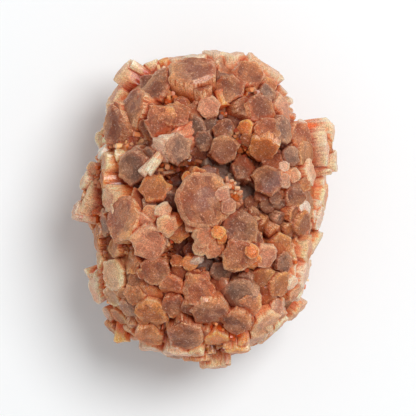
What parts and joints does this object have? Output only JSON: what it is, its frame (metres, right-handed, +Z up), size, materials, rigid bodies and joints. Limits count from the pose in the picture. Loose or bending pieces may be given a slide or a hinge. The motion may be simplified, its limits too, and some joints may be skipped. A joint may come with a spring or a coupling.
{
  "type": "aragonite sputnik cluster",
  "caption": "Rounded mineral cluster of stubby flat-ended six-sided crystals that radiate on all sides from one core, with a flat spot underneath to rest on.",
  "frame": {"origin": "middle of the flat spot on the underside, where the cluster rests", "axes": "+Z up through the best side, +Y along the cluster's length, +X across it"},
  "size_m": [0.0592, 0.0704, 0.0513],
  "materials": {
    "aragonite": "translucent rust-orange mineral with frosted mauve-brown crystal ends, paler rims and striated flanks"
  },
  "bodies": {
    "root": {"aragonite_cluster": "aragonite"}
  },
  "joints": []
}
